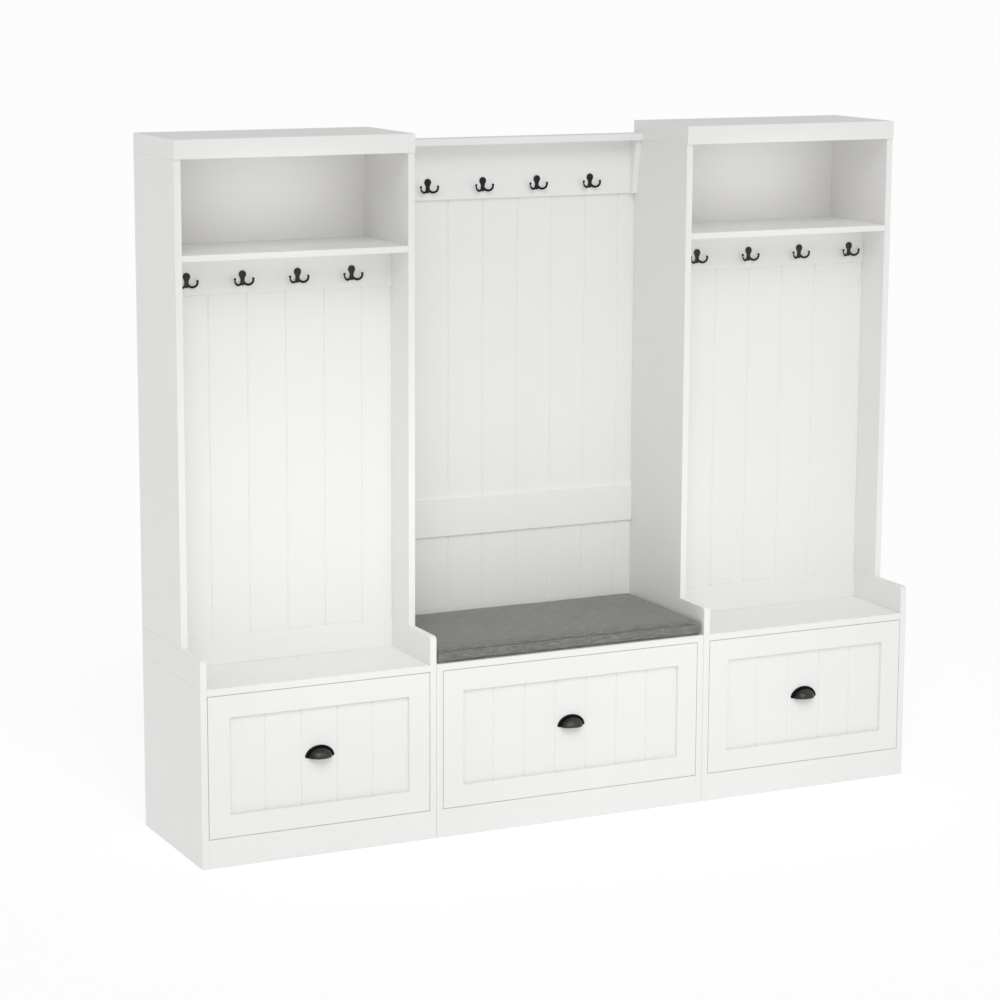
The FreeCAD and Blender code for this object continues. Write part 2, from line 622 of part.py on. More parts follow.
def bench_rails(models):
    """The rebated middle rail and the top rail that carries the hooks."""
    full = "Dims.HutchRailThickness"
    lip = "Dims.HutchLip"
    lap = "Dims.RailLap"
    mid = "Dims.MidRailHeight"
    middle_section = [("0", "0"), (lip, "0"), (lip, lap), (full, lap), (full, f"{mid} - {lap}"),
                      (lip, f"{mid} - {lap}"), (lip, mid), ("0", mid)]
    keep("bench_middle_rail", profile_board(
        "bench_mid_rail", at(BENCH, "0", HUTCH_RAIL, "Dims.MidRailFoot"), middle_section,
        "Dims.BenchWidth"))
    top = "Dims.TopRailHeight"
    top_section = [("0", "0"), (lip, "0"), (lip, lap), (full, lap), (full, top), ("0", top)]
    rail = profile_board("bench_top_board", at(BENCH, "0", HUTCH_RAIL, TOP_RAIL_FOOT), top_section,
                         "Dims.BenchWidth")
    first = "(Dims.BenchWidth / 2 - 1.5 * Dims.HookPitch + Dims.BenchHookShift)"
    screws, holes = hook_row("bench", BENCH, first, "Dims.HookPitch", HUTCH_RAIL,
                             f"{TOP_RAIL_FOOT} + Dims.HookFootHeight", models)
    bored("bench_hook_rail", rail, holes)
    return screws


def bench_ledge():
    """The ledge on top of the hutch and its two tapered brackets."""
    keep("bench_ledge", board(
        "bench_ledge_board", at(BENCH, "0", "Dims.BaseDepth - Dims.LedgeDepth", LEDGE_FOOT),
        ("Dims.BenchWidth", "Dims.LedgeDepth", "Dims.LedgeThickness")))
    tall = "Dims.TopRailHeight"
    taper = [("-Dims.BracketFootDepth", "0"), ("0", "0"), ("0", tall), ("-Dims.BracketTopDepth", tall)]
    bracket = profile_board("bench_bracket", at(BENCH, "0", HUTCH_RAIL, TOP_RAIL_FOOT), taper,
                            "Dims.BracketThickness")
    pair("bench_brackets", bracket, f"{BENCH} + Dims.BenchWidth / 2")


def seat_cushion():
    """The plain closed form of the loose cushion."""
    depth = f"({HUTCH_RAIL} - Dims.CushionFrontGap - Dims.CushionRearGap)"
    keep("seat_cushion", board(
        "cushion_form", at(BENCH, "Dims.CushionSideGap", "Dims.CushionFrontGap", "Dims.SeatHeight"),
        ("Dims.BenchWidth - 2 * Dims.CushionSideGap", depth, "Dims.CushionThickness"), eased=False))


# ---------------------------------------------------------------- the whole

def build():
    pull = cup_pull()
    hole = screw("screw_hole", "Dims.ScrewClearance")
    models = (hook_model(hole), screw("hook_screw", "0"), hole)

    widths = {"left": "Dims.TowerWidth", "bench": BENCH_BASE_WIDTH, "right": "Dims.TowerWidth"}
    modules = {"left": LEFT, "bench": BENCH_BASE, "right": RIGHT}
    planks = {"left": "Dims.TowerPlanks", "bench": "Dims.BenchPlanks", "right": "Dims.TowerPlanks"}
    backs = []
    members = []
    for prefix, module in modules.items():
        backs.append(base_cabinet(prefix, module, widths[prefix]))
        members += drawer(prefix, module, widths[prefix], planks[prefix], pull)
    keep("base_back_panels", group("base_backs", backs))
    keep("slide_cabinet_members", group("slide_members", members))

    rears = [tower_carcass(prefix, modules[prefix]) for prefix in ("left", "right")]
    keep("tower_rear_panels", group("tower_rears", rears))

    inset = f"({SIDE} + Dims.TowerHookInset)"
    right_first = f"(Dims.TowerWidth - {inset} - 3 * Dims.HookPitch)"
    screws = tower_back("left", LEFT, "Dims.LeftFirstGroove", inset, "Dims.LeftHookPitch", models)
    screws += tower_back("right", RIGHT, "Dims.RightFirstGroove", right_first, "Dims.HookPitch", models)
    bench_beadboards()
    screws += bench_rails(models)
    keep("hook_screws", group("all_hook_screws", screws))
    bench_ledge()
    seat_cushion()


def check():
    """Stop with a message if any object failed or any sub-part has no valid solid."""
    faults = [item.Name for item in doc.Objects
              if any(word in item.State for word in ("Invalid", "Error"))]
    for item in nodes:
        shape = item.Shape
        if shape.isNull() or not shape.isValid() or not shape.Solids:
            faults.append(item.Label)
    if faults:
        raise RuntimeError("not built: " + ", ".join(faults))


def write():
    os.makedirs("parts", exist_ok=True)
    for item in nodes:
        item.Shape.exportStep(os.path.join("parts", item.Label + ".step"))


build()
doc.recompute()
check()
write()
print(len(nodes), "sub-parts written")
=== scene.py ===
import json
import math
import bmesh
import bpy
from mathutils import Matrix, Vector, noise
from mathutils.bvhtree import BVHTree


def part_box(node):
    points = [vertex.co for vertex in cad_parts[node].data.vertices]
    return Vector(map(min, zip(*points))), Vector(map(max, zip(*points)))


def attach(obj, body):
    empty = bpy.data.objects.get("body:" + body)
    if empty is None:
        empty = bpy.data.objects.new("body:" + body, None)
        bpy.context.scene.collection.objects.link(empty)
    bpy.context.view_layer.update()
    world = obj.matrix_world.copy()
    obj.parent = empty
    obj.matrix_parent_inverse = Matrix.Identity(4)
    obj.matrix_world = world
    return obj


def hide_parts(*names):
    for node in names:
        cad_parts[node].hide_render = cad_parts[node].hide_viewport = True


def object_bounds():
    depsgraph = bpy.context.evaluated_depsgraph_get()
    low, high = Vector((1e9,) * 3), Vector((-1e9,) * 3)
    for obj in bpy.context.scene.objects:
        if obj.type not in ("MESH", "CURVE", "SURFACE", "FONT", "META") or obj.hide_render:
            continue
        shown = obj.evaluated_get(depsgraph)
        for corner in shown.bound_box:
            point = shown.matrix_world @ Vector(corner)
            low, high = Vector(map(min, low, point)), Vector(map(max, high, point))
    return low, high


# Hall tree with hooks: painted boards, black hooks and cup pulls, a linen seat cushion.
# Metres, in the shared frame: X along the front, Y from front to back, Z up.

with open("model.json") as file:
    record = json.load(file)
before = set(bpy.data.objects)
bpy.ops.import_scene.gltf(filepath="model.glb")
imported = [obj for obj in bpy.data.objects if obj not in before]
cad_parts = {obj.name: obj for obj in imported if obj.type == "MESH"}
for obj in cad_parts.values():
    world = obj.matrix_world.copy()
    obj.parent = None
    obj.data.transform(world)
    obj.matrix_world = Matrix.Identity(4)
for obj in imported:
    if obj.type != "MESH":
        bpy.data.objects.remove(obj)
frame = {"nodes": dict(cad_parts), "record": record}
cad_low, cad_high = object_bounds()

MODULES = ("left", "bench", "right")
MM = 0.001


# ---------------------------------------------------------------- finishes

def new_finish(name, **settings):
    """A material whose even values are set straight on its shader's sockets."""
    finish = bpy.data.materials.new(name)
    finish.use_nodes = True
    tree = finish.node_tree
    shader = tree.nodes["Principled BSDF"]
    for socket, value in settings.items():
        shader.inputs[socket.replace("_", " ")].default_value = value
    return finish, tree, shader


def add_node(tree, kind, values=(), **options):
    """A new node with its options and its sockets' own values set."""
    item = tree.nodes.new(kind)
    for option, value in options.items():
        setattr(item, option, value)
    for socket, value in dict(values).items():
        item.inputs[socket].default_value = value
    return item


def stretched(tree, per_metre):
    """Object coordinates scaled to so many pattern units a metre along each axis."""
    place = add_node(tree, "ShaderNodeTexCoord")
    scale = add_node(tree, "ShaderNodeMapping", {"Scale": per_metre})
    tree.links.new(place.outputs["Object"], scale.inputs["Vector"])
    return scale.outputs["Vector"]


def unrolled(tree):
    """Width, and depth plus height: the cloth's own two ways over its top and its front edge."""
    place = add_node(tree, "ShaderNodeTexCoord")
    split = add_node(tree, "ShaderNodeSeparateXYZ")
    tree.links.new(place.outputs["Object"], split.inputs["Vector"])
    return split.outputs["X"], joined(tree, "ADD", split.outputs["Y"], split.outputs["Z"])


def noise_on(tree, vector, detail, rough):
    """The grey value of soft noise on a vector."""
    texture = add_node(tree, "ShaderNodeTexNoise",
                       {"Scale": 1.0, "Detail": detail, "Roughness": rough})
    tree.links.new(vector, texture.inputs["Vector"])
    return texture.outputs["Fac"]


def cloud(tree, per_metre, detail=3.0, rough=0.5):
    """Soft noise, stretched as given along X, Y and Z."""
    return noise_on(tree, stretched(tree, per_metre), detail, rough)


def cloth_cloud(tree, ways, per_metre):
    """Soft noise that follows the cloth's own two ways."""
    flat = add_node(tree, "ShaderNodeCombineXYZ")
    for way, turns, socket in zip(ways, per_metre, ("X", "Y")):
        tree.links.new(joined(tree, "MULTIPLY", way, float(turns)), flat.inputs[socket])
    return noise_on(tree, flat.outputs["Vector"], 3.0, 0.65)


def ramp(tree, source, stops):
    """A colour ramp through (position, colour) stops."""
    item = add_node(tree, "ShaderNodeValToRGB")
    band = item.color_ramp
    while len(band.elements) < len(stops):
        band.elements.new(0.5)
    for element, (position, colour) in zip(band.elements, stops):
        element.position = position
        element.color = (*colour, 1.0)
    tree.links.new(source, item.inputs["Fac"])
    return item.outputs["Color"]


def spread(tree, source, low, high, out_low, out_high):
    """A value moved from one range to another."""
    item = add_node(tree, "ShaderNodeMapRange", {
        "From Min": low, "From Max": high, "To Min": out_low, "To Max": out_high})
    tree.links.new(source, item.inputs["Value"])
    return item.outputs["Result"]


def joined(tree, how, first, second):
    """Two values joined by a sum, product, difference and so on."""
    item = add_node(tree, "ShaderNodeMath", operation=how)
    for socket, value in zip(item.inputs, (first, second)):
        if isinstance(value, float):
            socket.default_value = value
        else:
            tree.links.new(value, socket)
    return item.outputs["Value"]


def blended(tree, share, first, second, how="MIX"):
    """Two colours mixed by a share from 0 to 1."""
    item = add_node(tree, "ShaderNodeMix", data_type="RGBA", blend_type=how)
    for socket, value in ((0, share), (6, first), (7, second)):
        if isinstance(value, float):
            item.inputs[socket].default_value = value
        else:
            tree.links.new(value, item.inputs[socket])
    return item.outputs[2]


def relief(tree, shader, height, depth, strength=1.0, under=None):
    """Surface relief, depth in metres for a height from 0 to 1."""
    bump = add_node(tree, "ShaderNodeBump", {"Strength": strength, "Distance": depth})
    tree.links.new(height, bump.inputs["Height"])
    if under is not None:
        tree.links.new(under, bump.inputs["Normal"])
    tree.links.new(bump.outputs["Normal"], shader.inputs["Normal"])
    return bump.outputs["Normal"]


def satin_white_paint():
    """Sprayed satin white over fibreboard: fine orange peel, faint tone and sheen changes."""
    finish, tree, shader = new_finish("satin_white_paint", Roughness=0.46, IOR=1.46)
    tone = cloud(tree, (2.2, 2.2, 1.6), detail=4.0)
    colour = ramp(tree, tone, [(0.3, (0.822, 0.818, 0.806)), (0.7, (0.848, 0.844, 0.834))])
    tree.links.new(colour, shader.inputs["Base Color"])
    sheen = cloud(tree, (14, 14, 9), detail=3.0)
    tree.links.new(spread(tree, sheen, 0.3, 0.7, 0.40, 0.52), shader.inputs["Roughness"])
    peel = cloud(tree, (420, 420, 420), detail=2.0)
    relief(tree, shader, peel, 0.00005)
    return finish


def pale_birch():
    """Unpainted birch board for the drawer boxes, grain running along X and Y."""
    finish, tree, shader = new_finish("pale_birch", Roughness=0.55)
    long_grain = cloud(tree, (9, 5, 130), detail=5.0, rough=0.6)
    rings = cloud(tree, (3, 2, 26), detail=3.0)
    both = joined(tree, "ADD", joined(tree, "MULTIPLY", long_grain, 0.55),
                  joined(tree, "MULTIPLY", rings, 0.45))
    colour = ramp(tree, both, [(0.32, (0.50, 0.36, 0.22)), (0.5, (0.66, 0.51, 0.34)),
                               (0.68, (0.76, 0.62, 0.45))])
    tree.links.new(colour, shader.inputs["Base Color"])
    relief(tree, shader, long_grain, 0.00008)
    return finish


def blackened_metal(name, lit_from, lit_to, painted_light_share):
    """Cast metal, black with a brown undertone and slightly pitted, whose tone is painted lighter
    by a share between two depths along Y: painted light, not wear.
    On the hooks the depths span the unit, so the towers' hooks are a little lighter than the
    bench's, painted shade on the hooks set further back;
    on the pulls they span the cup, a painted highlight on the cup's front."""
    finish, tree, shader = new_finish(name, Metallic=0.6, Roughness=0.4)
    shader.inputs["Specular IOR Level"].default_value = 0.35
    patches = cloud(tree, (90, 90, 90), detail=4.0, rough=0.6)
    base_black = ramp(tree, patches, [(0.3, (0.006, 0.006, 0.006)), (0.55, (0.011, 0.011, 0.010)),
                                 (0.75, (0.020, 0.018, 0.016))])
    painted_lit_black = ramp(tree, patches, [(0.3, (0.050, 0.048, 0.043)), (0.55, (0.078, 0.074, 0.066)),
                                (0.75, (0.120, 0.112, 0.098))])
    split = add_node(tree, "ShaderNodeSeparateXYZ")
    tree.links.new(stretched(tree, (1, 1, 1)), split.inputs["Vector"])
    # Painted light: the black is mixed towards a lighter tone by depth along Y, a painted
    # highlight on the pulls and painted shade on the hooks set further back.
    painted_light_mask = spread(tree, split.outputs["Y"], lit_from, lit_to, 0.0, painted_light_share)
    tree.links.new(blended(tree, painted_light_mask, base_black, painted_lit_black), shader.inputs["Base Color"])
    tree.links.new(spread(tree, patches, 0.3, 0.7, 0.32, 0.46), shader.inputs["Roughness"])
    pits = cloud(tree, (900, 900, 900), detail=3.0)
    relief(tree, shader, pits, 0.00012, strength=0.7)
    return finish


def zinc_steel():
    """Bright zinc plate on the drawer slides, drawn along their length."""
    finish, tree, shader = new_finish("zinc_steel", Metallic=1.0, Roughness=0.32)
    lines = cloud(tree, (900, 14, 900), detail=3.0)
    colour = ramp(tree, lines, [(0.3, (0.50, 0.51, 0.53)), (0.7, (0.68, 0.69, 0.70))])
    tree.links.new(colour, shader.inputs["Base Color"])
    tree.links.new(spread(tree, lines, 0.3, 0.7, 0.24, 0.40), shader.inputs["Roughness"])
    relief(tree, shader, lines, 0.00003)
    return finish


THREAD = 1.15 * MM


def heathered_linen(name, light):
    """Plain-woven grey linen with slubs, light scaling the threads' tone."""
    finish, tree, shader = new_finish(name, Roughness=0.92, Sheen_Weight=0.25, Sheen_Roughness=0.5)
    shader.inputs["Specular IOR Level"].default_value = 0.15
    turns = 2 * math.pi / THREAD
    ways = unrolled(tree)
    warp, weft = (joined(tree, "SINE", joined(tree, "MULTIPLY", way, turns), 0.0) for way in ways)
    weave = spread(tree, joined(tree, "ADD", warp, weft), -2.0, 2.0, 0.0, 1.0)
    across = cloth_cloud(tree, ways, (28, 260))
    along = cloth_cloud(tree, ways, (280, 44))
    blotch = cloud(tree, (7, 7, 7), detail=3.0)
    slubs = joined(tree, "ADD", joined(tree, "MULTIPLY", across, 0.70),
                   joined(tree, "MULTIPLY", along, 0.30))
    threads = ((0.33, (0.150, 0.149, 0.138)), (0.50, (0.238, 0.236, 0.217)),
               (0.67, (0.350, 0.347, 0.321)))
    colour = ramp(tree, slubs, [(stop, tuple(c * light for c in tone)) for stop, tone in threads])
    shade = ramp(tree, weave, [(0.15, (0.80, 0.80, 0.80)), (0.75, (1.06, 1.06, 1.06))])
    patch = ramp(tree, blotch, [(0.3, (0.94, 0.94, 0.94)), (0.7, (1.05, 1.05, 1.05))])
    dyed = blended(tree, 1.0, blended(tree, 1.0, colour, shade, "MULTIPLY"), patch, "MULTIPLY")
    tree.links.new(dyed, shader.inputs["Base Color"])
    first = relief(tree, shader, slubs, 0.0007, strength=0.8)
    relief(tree, shader, weave, 0.00035, strength=0.9, under=first)
    return finish


paint = satin_white_paint()
birch = pale_birch()
# Depths for the light painted into the black metal: on the hooks, painted shade darkens those set
# further back; on the pulls, a painted highlight lightens the front of the cup.
HOOK_SHADE_DEPTHS = (0.300, 0.016)
PULL_HIGHLIGHT_DEPTHS = (cad_low.y + 0.021, cad_low.y + 0.003)
hook_black = blackened_metal("blackened_hooks", *HOOK_SHADE_DEPTHS, 0.50)
pull_black = blackened_metal("blackened_pulls", *PULL_HIGHLIGHT_DEPTHS, 0.85)
steel = zinc_steel()
linen = heathered_linen("heathered_linen", 0.87)
# The seam cords take the same linen at half tone: painted shade for the shadow in the upper seam's
# crease and the contact shadow along the bottom edge, laid on real seams.
seam_linen_painted_shade = heathered_linen("seam_linen_painted_shade", 0.50)
FINISHES = {"painted_board": paint, "raw_board": birch, "black_metal": hook_black,
            "zinc_steel": steel, "cushion_linen": linen}

slot_of = {part["node"]: part["material_slot"] for part in frame["record"]["subparts"]}
for name, part in frame["nodes"].items():
    finish = FINISHES[slot_of[name]]
    if not part.material_slots:
        part.data.materials.append(finish)
    for holder in part.material_slots:
        holder.material = finish


# ---------------------------------------------------------------- making pieces

def keep_piece(name, form, finish, body, slot, *stands_for):
    """Turns a finished form into a piece with its finish and body."""
    mesh = bpy.data.meshes.new(name)
    form.to_mesh(mesh)
    form.free()
    return keep_mesh(name, mesh, finish, body, slot, *stands_for)


def keep_mesh(name, mesh, finish, body, slot, *stands_for):
    """Turns a finished mesh into a piece with its finish and body; the slot is not used."""
    piece = bpy.data.objects.new(name, mesh)
    bpy.context.scene.collection.objects.link(piece)
    mesh.materials.clear()
    mesh.materials.append(finish)
    for face in mesh.polygons:
        face.use_smooth = True
    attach(piece, body)
    if stands_for:
        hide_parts(*stands_for)
    return piece


def add_copy(form, mesh, place):
    """Adds a mesh to a form at a place."""
    before = len(form.verts)
    form.from_mesh(mesh)
    form.verts.ensure_lookup_table()
    bmesh.ops.translate(form, verts=form.verts[before:], vec=place)


def round_edges(form, edges, width, segments=2):
    """Rounds edges to a width."""
    bmesh.ops.bevel(form, geom=edges, offset=width, offset_type="OFFSET", affect="EDGES",
                    segments=segments, profile=0.5, material=-1, clamp_overlap=True)


# ---------------------------------------------------------------- cup pulls

CUP_SHARE = 0.81
CUP_WALL = 1.8 * MM
CUP_STEPS = 14
TOE = 4.5 * MM


def pull_form(half_width, height, depth):
    """A cup pull at the origin: a beaded half-round flange and a hollow cup, open below."""
    cup = CUP_SHARE * half_width
    wall = CUP_WALL
    section = [(half_width, 0.0), (half_width, 1.1 * MM), (half_width - 0.7 * MM, 2.6 * MM),
               (half_width - 2.1 * MM, 3.5 * MM), (half_width - 3.5 * MM, 3.5 * MM),
               (half_width - 4.8 * MM, 2.7 * MM), (half_width - 5.5 * MM, 1.7 * MM),
               (half_width - 6.5 * MM, 1.3 * MM), (half_width - 7.3 * MM, 1.5 * MM)]
    for i in range(1, CUP_STEPS + 1):
        angle = math.radians(5 + (90 - 5) * i / CUP_STEPS)
        section.append((cup * math.cos(angle), depth * math.sin(angle)))
    for i in range(CUP_STEPS, -1, -1):
        angle = math.radians(90 * i / CUP_STEPS)
        section.append(((cup - wall) * math.cos(angle), (depth - wall) * math.sin(angle)))
    form = bmesh.new()
    outline = [form.verts.new((max(across, 0.0), -forward, 0.0)) for across, forward in section]
    face = form.faces.new(outline)
    bmesh.ops.spin(form, geom=[face] + list(face.edges) + list(face.verts), cent=(0, 0, 0),
                   axis=(0, 1, 0), angle=-math.pi, steps=56, use_merge=False)
    bmesh.ops.remove_doubles(form, verts=form.verts, dist=0.02 * MM)
    bmesh.ops.recalc_face_normals(form, faces=form.faces)
    lip = [edge for edge in form.edges if len(edge.link_faces) == 2
           and all(abs(v.co.z) < 0.01 * MM for v in edge.verts)
           and any(len(f.verts) > 4 for f in edge.link_faces)
           and edge.verts[0].co.y < -2 * MM]
    round_edges(form, lip, 0.45 * MM)
    bmesh.ops.scale(form, verts=form.verts, vec=(1, 1, height / half_width))
    for v in form.verts:
        past = abs(v.co.x) - (half_width - TOE)
        if past > 0 and v.co.z < 2 * TOE:
            lift = TOE - math.sqrt(max(TOE * TOE - past * past, 0.0))
            v.co.z = lift + v.co.z * (2 * TOE - lift) / (2 * TOE)
    return form


def cup_pulls():
    """One pull on each drawer, to its own box."""
    for module in MODULES:
        low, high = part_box(f"{module}_cup_pull")
        form = pull_form((high.x - low.x) / 2, high.z - low.z, high.y - low.y)
        bmesh.ops.translate(form, verts=form.verts, vec=((low.x + high.x) / 2, high.y, low.z))
        piece = keep_piece(f"{module}_pull", form, pull_black, f"{module}_drawer", "black_metal",
                           f"{module}_cup_pull")
        bend = piece.modifiers.new("crisp", "EDGE_SPLIT")
        bend.split_angle = math.radians(60)


# ---------------------------------------------------------------- coat hooks

PLATE_HEAD = 9.6 * MM
PLATE_FOOT = 6.0 * MM
PLATE_TALL = 38 * MM
PLATE_WAIST = 5.2 * MM
WAIST_HEIGHT = 15 * MM
PRONG_BEND = 13 * MM
PRONG_REACH = 14 * MM
PRONG_RISE = 15.5 * MM
PRONG_SPLAY = math.radians(-24)
TIP_RADIUS = 3.4 * MM
TIP_SPREAD = 27.89 * MM
HOOKS_IN_ROW = 4


def plate_half_width(up):
    """Half the plate's width at a height above its foot."""
    head_centre = PLATE_TALL - PLATE_HEAD
    shoulder = (head_centre - PLATE_HEAD * math.sin(math.radians(35)),
                PLATE_HEAD * math.cos(math.radians(35)))
    ankle = (PLATE_FOOT + PLATE_FOOT * math.sin(math.radians(20)),
             PLATE_FOOT * math.cos(math.radians(20)))
    if up >= shoulder[0]:
        return math.sqrt(max(PLATE_HEAD ** 2 - (up - head_centre) ** 2, 0.0))
    if up <= ankle[0]:
        return math.sqrt(max(PLATE_FOOT ** 2 - (up - PLATE_FOOT) ** 2, 0.0))
    end = shoulder if up > WAIST_HEIGHT else ankle
    share = (up - WAIST_HEIGHT) / (end[0] - WAIST_HEIGHT)
    return PLATE_WAIST + (end[1] - PLATE_WAIST) * share * share * (1.6 - 0.6 * share)


def hook_plate_form():
    """The pear-shaped plate, domed to a soft ridge, its back at Y = 0 and its foot at Z = 0."""
    form = bmesh.new()
    bmesh.ops.create_circle(form, cap_ends=True, segments=72, radius=1.0)
    for v in form.verts:
        turn = math.atan2(v.co.y, v.co.x)
        up = PLATE_TALL * (0.5 + 0.5 * math.sin(turn))
        side = plate_half_width(up)
        v.co = Vector((math.copysign(side, v.co.x) if abs(v.co.x) > 1e-6 else 0.0, 0.0, up))
    face = form.faces[:][0]
    if face.normal.y > 0:
        bmesh.ops.reverse_faces(form, faces=[face])
    form.normal_update()
    back = form.faces[:][0]
    rim = bmesh.ops.extrude_face_region(form, geom=[back])
    top = [f for f in rim["geom"] if isinstance(f, bmesh.types.BMFace)]
    walls = [v for v in rim["geom"] if isinstance(v, bmesh.types.BMVert)]
    bmesh.ops.translate(form, verts=walls, vec=(0, -2.0 * MM, 0))
    form.normal_update()
    for inset, rise in ((0.5, 0.7), (0.8, 0.6), (1.1, 0.4), (1.2, 0.15)):
        for f in top:
            f.normal_update()
        bmesh.ops.inset_region(form, faces=top, thickness=inset * MM, depth=rise * MM,
                               use_even_offset=True)
    bmesh.ops.recalc_face_normals(form, faces=form.faces)
    return form


def prong_form(side):
    """One prong: a bar that bends down and up in an arc, thinner outwards, with a ball tip."""
    bend, reach, rise = PRONG_BEND, PRONG_REACH, PRONG_RISE
    start, sweep = math.radians(-150), math.radians(160)
    form = bmesh.new()
    bmesh.ops.create_circle(form, cap_ends=True, segments=18, radius=1.0)
    bmesh.ops.rotate(form, verts=form.verts, matrix=Matrix.Rotation(math.pi / 2, 3, "X"))
    bmesh.ops.translate(form, verts=form.verts, vec=(bend / MM, 0, 0))
    bmesh.ops.rotate(form, verts=form.verts, matrix=Matrix.Rotation(-start, 3, "Y"))
    bmesh.ops.spin(form, geom=form.verts[:] + form.edges[:] + form.faces[:], cent=(0, 0, 0),
                   axis=(0, 1, 0), angle=-sweep, steps=26, use_merge=False)
    for v in form.verts:
        angle = math.atan2(v.co.z, v.co.x)
        share = min(max((angle - start) / sweep, 0.0), 1.0)
        middle = Vector((math.cos(angle), 0, math.sin(angle))) * (bend / MM)
        thick = 3.2 - 0.5 * share
        v.co = (middle + (v.co - middle) * thick) * MM
    tip = Vector((math.cos(start + sweep), 0, math.sin(start + sweep))) * bend
    bmesh.ops.create_uvsphere(form, u_segments=20, v_segments=12, radius=TIP_RADIUS,
                              matrix=Matrix.Translation(tip))
    bmesh.ops.translate(form, verts=form.verts, vec=(reach, 0, 0))
    bmesh.ops.rotate(form, verts=form.verts, matrix=Matrix.Rotation(PRONG_SPLAY, 3, "Z"))
    bmesh.ops.translate(form, verts=form.verts, vec=(0, -1.9 * MM, rise))
    if side < 0:
        bmesh.ops.scale(form, verts=form.verts, vec=(-1, 1, 1))
    bmesh.ops.remove_doubles(form, verts=form.verts, dist=0.005 * MM)
    bmesh.ops.recalc_face_normals(form, faces=form.faces)
    return form


def hook_mesh():
    """One double hook with its foot at the origin."""
    whole = bmesh.new()
    for form in (hook_plate_form(), prong_form(1), prong_form(-1)):
        mesh = bpy.data.meshes.new("hook_part")
        form.to_mesh(mesh)
        form.free()
        whole.from_mesh(mesh)
        bpy.data.meshes.remove(mesh)
    mesh = bpy.data.meshes.new("hook")
    whole.to_mesh(mesh)
    whole.free()
    return mesh


def hook_places(low, high, count):
    """The feet of a row of hooks, from the row's box; its ends are the outer prong tips."""
    first, last = low.x + TIP_SPREAD, high.x - TIP_SPREAD
    return [Vector((first + (last - first) * i / (count - 1), high.y, low.z))
            for i in range(count)]


def coat_hooks():
    """A row of hooks for each part of the unit, as one piece a row."""
    one = hook_mesh()
    for module in MODULES:
        low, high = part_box(f"{module}_coat_hooks")
        form = bmesh.new()
        for place in hook_places(low, high, HOOKS_IN_ROW):
            add_copy(form, one, place)
        piece = keep_piece(f"{module}_hooks", form, hook_black, "frame", "black_metal",
                           f"{module}_coat_hooks")
        crisp = piece.modifiers.new("crisp", "EDGE_SPLIT")
        crisp.split_angle = math.radians(50)
    bpy.data.meshes.remove(one)


# ---------------------------------------------------------------- seat cushion

CUSHION_CORNER = 9 * MM
CUSHION_EASE = 1.5 * MM
CUSHION_CLEAR = 0.8 * MM
SEAM_INSET = 1.6 * MM
SEAM_RADIUS = 1.05 * MM
SEAM_POINTS = 420
NIP_BAND = 3 * MM
NIP_DEPTH = 1.2 * MM
NIP_REACH = 12 * MM
CROWN = 4.5 * MM
RIPPLE = 0.9 * MM
PULL_IN = 1.2 * MM
SWELL_PRESSURE = 4.0
SWELL_MOST = 4 * MM
LAST_FRAME = 20


def rounded_slab(low, high, corner, edge):
    """A slab with rounded upright corners and softly rounded edges."""
    form = bmesh.new()
    bmesh.ops.create_cube(form, size=1.0)
    bmesh.ops.scale(form, verts=form.verts, vec=high - low)
    bmesh.ops.translate(form, verts=form.verts, vec=(low + high) / 2)
    upright = [e for e in form.edges
               if abs(e.verts[0].co.z - e.verts[1].co.z) > 0.5 * (high.z - low.z)]
    round_edges(form, upright, corner, segments=6)
    level = [e for e in form.edges if abs(e.verts[0].co.z - e.verts[1].co.z) < 1e-6
             and len(e.link_faces) == 2
             and abs(e.link_faces[0].normal.z - e.link_faces[1].normal.z) > 0.5]
    round_edges(form, level, edge, segments=3)
    return form


def swell(piece, pressure, most):
    """Inflates a closed piece as cloth, each point moving no further than most."""
    start = [v.co.copy() for v in piece.data.vertices]
    cloth = piece.modifiers.new("filling", "CLOTH")
    cloth.settings.quality = 5
    cloth.settings.use_pressure = True
    cloth.settings.uniform_pressure_force = pressure
    cloth.settings.tension_stiffness = 25
    cloth.settings.compression_stiffness = 25
    cloth.settings.bending_stiffness = 8
    cloth.settings.effector_weights.gravity = 0
    cloth.collision_settings.use_collision = False
    cloth.point_cache.frame_start, cloth.point_cache.frame_end = 1, LAST_FRAME
    scene = bpy.context.scene
    for number in range(1, LAST_FRAME + 1):
        scene.frame_set(number)
    view = bpy.context.evaluated_depsgraph_get()
    swollen = piece.evaluated_get(view).to_mesh()
    for v, old, new in zip(piece.data.vertices, start, swollen.vertices):
        step = new.co - old
        if step.length > most:
            step *= most / step.length
        v.co = old + step
    piece.evaluated_get(view).to_mesh_clear()
    piece.modifiers.remove(cloth)
    scene.frame_set(1)


def apply_all(piece):
    """Replaces a piece's mesh by the mesh with its modifiers applied."""
    view = bpy.context.evaluated_depsgraph_get()
    done = bpy.data.meshes.new_from_object(piece.evaluated_get(view), depsgraph=view)
    piece.modifiers.clear()
    piece.data = done


